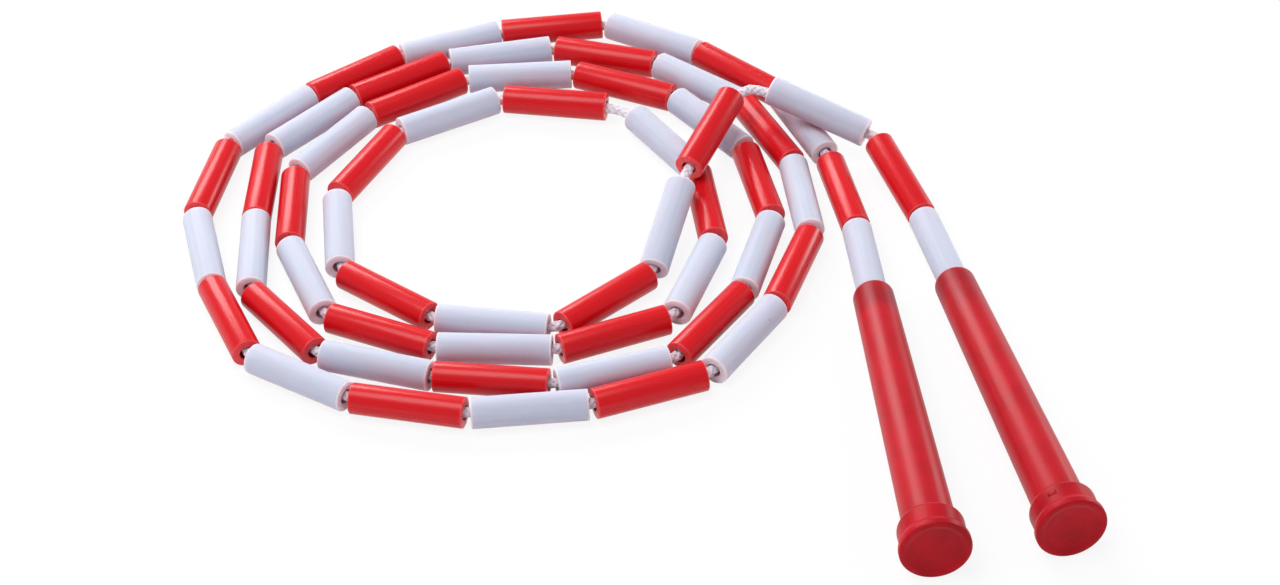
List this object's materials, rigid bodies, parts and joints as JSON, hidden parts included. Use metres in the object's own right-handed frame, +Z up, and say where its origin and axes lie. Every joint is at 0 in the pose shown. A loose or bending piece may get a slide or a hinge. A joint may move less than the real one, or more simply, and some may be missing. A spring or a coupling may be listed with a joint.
{
  "type": "jump rope",
  "caption": "Beaded jump rope for fitness and boxing training: plastic tube beads on a braided cord, laid in a loose coil, with two tapered handles that spin on the cord's ends.",
  "frame": {"origin": "on the ground, in the middle of the coil", "axes": "+Z up; +Y away from the handles' caps, so the handles point to -Y; +X to the side of the coil where both handles lie"},
  "size_m": [0.3047, 0.3058, 0.0267],
  "materials": {
    "bead_white": "satin moulded plastic, slightly translucent",
    "bead_red": "glossy moulded plastic",
    "cord": "braided synthetic cord",
    "handle": "satin moulded plastic tube",
    "cap": "satin moulded plastic"
  },
  "bodies": {
    "coil": {"beads_outer_white": "bead_white", "beads_outer_red": "bead_red", "beads_second_white": "bead_white", "beads_second_red": "bead_red", "beads_third_white": "bead_white", "beads_third_red": "bead_red", "beads_inner_white": "bead_white", "beads_inner_red": "bead_red", "cord_outer": "cord", "cord_second": "cord", "cord_third": "cord", "cord_inner": "cord"},
    "left_link": {"bead_left_2": "bead_red", "cord_left_link": "cord"},
    "left_end": {"bead_left_1": "bead_white", "cord_left_end": "cord", "left_knot": "cord"},
    "left_handle": {"left_grip": "handle", "left_cap": "cap"},
    "right_link": {"bead_right_2": "bead_red", "cord_right_link": "cord"},
    "right_end": {"bead_right_1": "bead_white", "cord_right_end": "cord", "right_knot": "cord"},
    "right_handle": {"right_grip": "handle", "right_cap": "cap"}
  },
  "joints": [
    {"name": "left_lift", "type": "hinge", "parent": "coil", "child": "left_link", "pos_m": [0.0707, 0.06636, 0.0053], "axis": [-0.9877, -0.1564, 0], "range_deg": [0, 20]},
    {"name": "left_swing", "type": "hinge", "parent": "left_link", "child": "left_end", "pos_m": [0.07738, 0.02422, 0.00566], "axis": [0, 0, 1], "range_deg": [-8, 3]},
    {"name": "left_spin", "type": "hinge", "parent": "left_end", "child": "left_handle", "pos_m": [0.07972, -0.0141, 0.00702], "axis": [0.061, -0.9975, 0.0354], "continuous": true},
    {"name": "right_lift", "type": "hinge", "parent": "coil", "child": "right_link", "pos_m": [0.08794, 0.07042, 0.01087], "axis": [-0.9511, -0.309, 0], "range_deg": [0, 20]},
    {"name": "right_swing", "type": "hinge", "parent": "right_link", "child": "right_end", "pos_m": [0.1013, 0.0293, 0.00565], "axis": [0, 0, 1], "range_deg": [0, 20]},
    {"name": "right_spin", "type": "hinge", "parent": "right_end", "child": "right_handle", "pos_m": [0.10801, -0.0088, 0.00702], "axis": [0.1735, -0.9842, 0.0354], "continuous": true}
  ]
}
